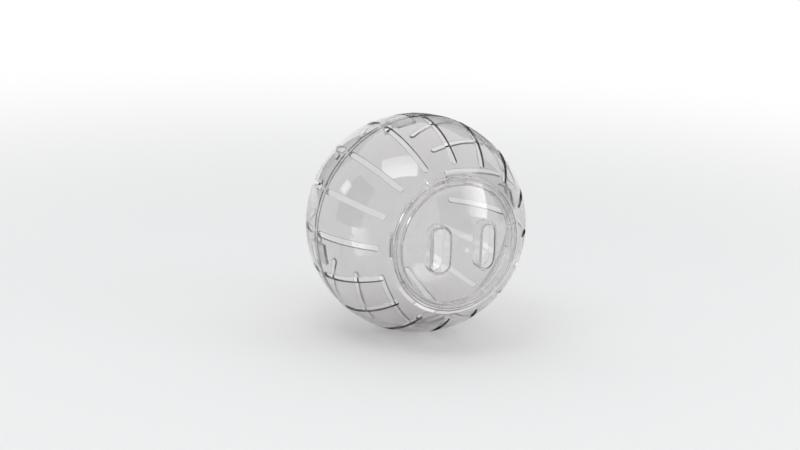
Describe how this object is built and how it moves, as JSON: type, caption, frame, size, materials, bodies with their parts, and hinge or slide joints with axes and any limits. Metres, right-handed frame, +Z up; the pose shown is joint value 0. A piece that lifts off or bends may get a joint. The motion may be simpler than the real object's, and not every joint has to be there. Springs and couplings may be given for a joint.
{
  "type": "hamster ball",
  "caption": "Clear hollow exercise ball for a hamster: slotted half shells that pull apart, and a round door with finger slots that turns to lock.",
  "frame": {"origin": "centre of the ball", "axes": "-Y out through the middle of the door, +Z up along the finger slots, +X to the right as the door is faced"},
  "size_m": [0.127, 0.127, 0.127],
  "materials": {
    "clear_shell": "clear moulded polystyrene, polished gloss",
    "clear_door": "clear moulded polystyrene, polished gloss"
  },
  "bodies": {
    "front_half": {"front_half_shell": "clear_shell"},
    "rear_half": {"rear_half_shell": "clear_shell"},
    "door": {"door": "clear_door"}
  },
  "joints": [
    {"name": "door_turn", "type": "hinge", "parent": "front_half", "child": "door", "pos_m": [0, -0.049, 0], "axis": [0, -1, 0], "range_deg": [0, 22.5]},
    {"name": "halves_pull", "type": "slide", "parent": "front_half", "child": "rear_half", "axis": [0, 1, 0], "range_m": [0, 0.07]}
  ]
}
